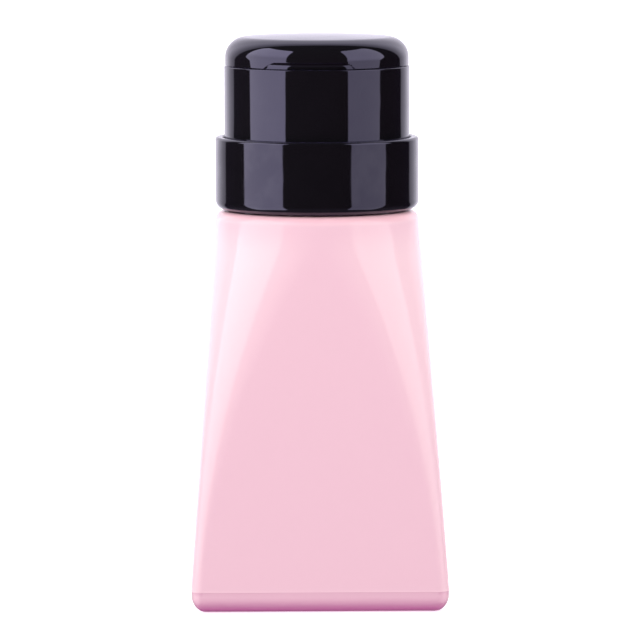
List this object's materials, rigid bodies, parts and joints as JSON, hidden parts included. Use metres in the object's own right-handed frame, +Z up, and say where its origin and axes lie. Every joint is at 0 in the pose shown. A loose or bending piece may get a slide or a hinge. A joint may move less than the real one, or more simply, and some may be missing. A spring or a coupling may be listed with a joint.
{
  "type": "nail polish remover pump",
  "caption": "Press-down remover bottle: square foot turning into a round shoulder, screw collar, sprung pump head with a dish and a hinged flip lid.",
  "frame": {"origin": "middle of the foot's underside, on the pump's axis", "axes": "+Z up along the pump's axis, -Y towards the front with the lid's thumb notch, +X to the right"},
  "size_m": [0.065, 0.065, 0.144],
  "materials": {
    "pink_plastic": "gloss",
    "black_plastic": "gloss",
    "milky_plastic": "satin",
    "seal_rubber": "matt",
    "steel": "polished"
  },
  "bodies": {
    "bottle_body": {"bottle": "pink_plastic"},
    "pump_unit": {"pump_housing": "milky_plastic", "housing_cap": "milky_plastic", "stem_seal": "seal_rubber", "neck_gasket": "seal_rubber", "ball_cage": "milky_plastic", "dip_tube": "milky_plastic", "return_spring": "steel"},
    "collar_body": {"screw_collar": "black_plastic"},
    "plunger": {"stem": "milky_plastic", "piston_core": "milky_plastic", "piston": "milky_plastic"},
    "pump_head": {"head_shell": "black_plastic", "dish": "black_plastic", "outlet_nozzle": "milky_plastic", "hinge_pin": "steel"},
    "flip_lid": {"lid": "black_plastic", "lid_plug": "seal_rubber"},
    "inlet_valve": {"inlet_ball": "steel"},
    "outlet_valve": {"outlet_ball": "steel"}
  },
  "joints": [
    {"name": "pump_lift", "type": "slide", "parent": "bottle_body", "child": "pump_unit", "axis": [0, 0, 1], "range_m": [0, 0.0063]},
    {"name": "collar_turn", "type": "hinge", "parent": "pump_unit", "child": "collar_body", "pos_m": [0, 0, 0.1088], "axis": [0, 0, 1], "range_deg": [0, 540]},
    {"name": "head_press", "type": "slide", "parent": "pump_unit", "child": "plunger", "axis": [0, 0, -1], "range_m": [0, 0.005], "stiffness_N_per_m": 900, "springref_m": -0.005, "deforming": ["return_spring"]},
    {"name": "head_swivel", "type": "hinge", "parent": "plunger", "child": "pump_head", "pos_m": [0, 0, 0.126], "axis": [0, 0, 1], "continuous": true},
    {"name": "lid_hinge", "type": "hinge", "parent": "pump_head", "child": "flip_lid", "pos_m": [0.00286, 0.02514, 0.1362], "axis": [-0.9936, 0.1132, 0], "range_deg": [0, 115]},
    {"name": "inlet_ball_lift", "type": "slide", "parent": "pump_unit", "child": "inlet_valve", "axis": [0, 0, 1], "range_m": [0, 0.001]},
    {"name": "outlet_ball_lift", "type": "slide", "parent": "plunger", "child": "outlet_valve", "axis": [0, 0, 1], "range_m": [0, 0.001]}
  ],
  "couplings": [
    {"joint": "collar_turn", "follows": "pump_lift", "rad_per_m": 1495.9}
  ]
}
